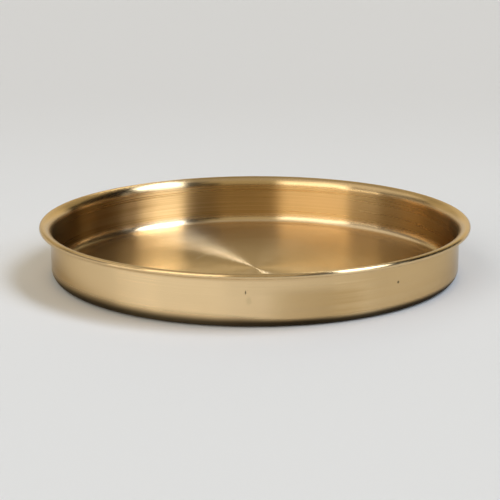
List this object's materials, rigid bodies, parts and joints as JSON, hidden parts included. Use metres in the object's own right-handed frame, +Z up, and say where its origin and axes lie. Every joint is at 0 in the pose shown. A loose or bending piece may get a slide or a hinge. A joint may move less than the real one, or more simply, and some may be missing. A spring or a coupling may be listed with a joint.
{
  "type": "thali plate",
  "caption": "Round brass dinner plate with a flat floor, an upright wall, a flared lip and an edge rolled over a stiffening wire.",
  "frame": {"origin": "centre of the plate's underside, on the surface that it stands on", "axes": "+Z up along the plate's axis; the plate is round, so X and Y are any two level directions, and the ends of the hidden wire meet on +Y"},
  "size_m": [0.3, 0.3, 0.0365],
  "materials": {
    "brass_sheet": "satin, spun-brushed in rings",
    "steel_wire": "drawn wire, dull"
  },
  "bodies": {
    "root": {"pan": "brass_sheet", "rim_wire": "steel_wire"}
  },
  "joints": []
}
